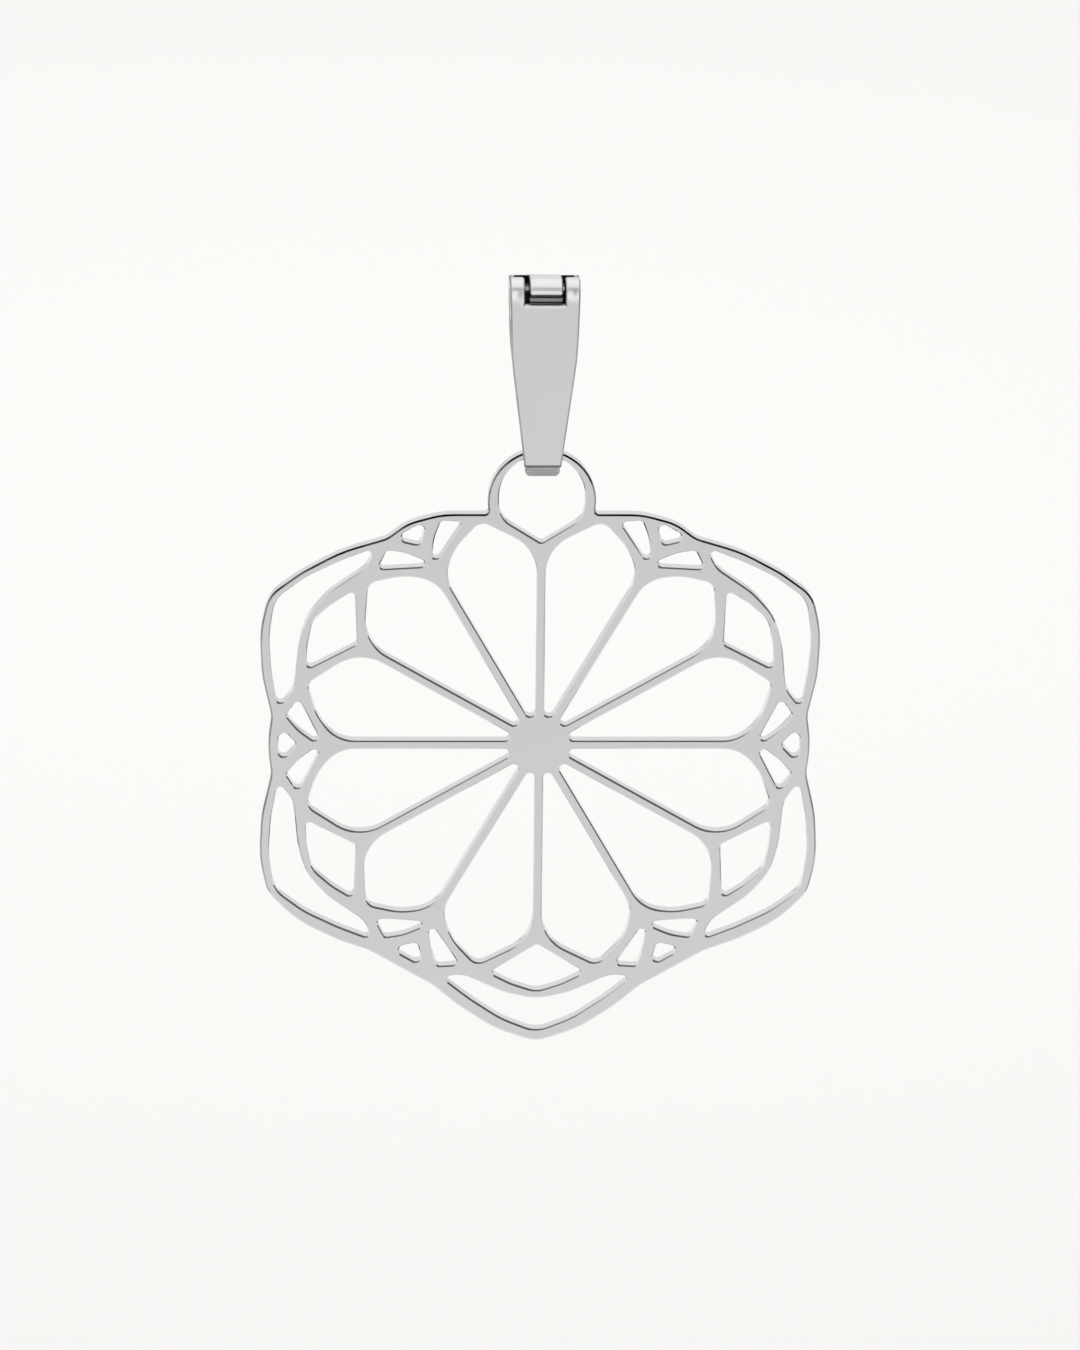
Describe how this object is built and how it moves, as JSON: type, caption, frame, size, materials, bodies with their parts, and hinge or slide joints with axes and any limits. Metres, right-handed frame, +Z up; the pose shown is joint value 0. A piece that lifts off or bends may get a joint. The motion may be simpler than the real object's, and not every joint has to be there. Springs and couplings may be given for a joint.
{
  "type": "rose window pendant",
  "caption": "Pendant of pierced metal tracery shaped like a rose window, hung by a loop on a tapered clip bail that opens at a hinge to take a chain.",
  "frame": {"origin": "centre of the chain that the bail hangs on, straight above the middle of the rose", "axes": "+X along the chain, to the right as the rose is seen from the front; +Y to the back; +Z up"},
  "size_m": [0.03, 0.004, 0.0432],
  "materials": {
    "rose_metal": "polished silver, edges eased",
    "bail_metal": "polished silver",
    "pin_metal": "drawn silver wire"
  },
  "bodies": {
    "bail": {"bail_front": "bail_metal", "hinge_pin": "pin_metal"},
    "clip": {"bail_back": "bail_metal"},
    "rose": {"rose_window": "rose_metal"}
  },
  "joints": [
    {"name": "bail_opens", "type": "hinge", "parent": "bail", "child": "clip", "pos_m": [0, -0.00085, 0.00203], "axis": [1, 0, 0], "range_deg": [0, 24]},
    {"name": "rose_swings", "type": "hinge", "parent": "bail", "child": "rose", "pos_m": [0, 0, -0.00689], "axis": [1, 0, 0], "range_deg": [-12, 12]}
  ]
}
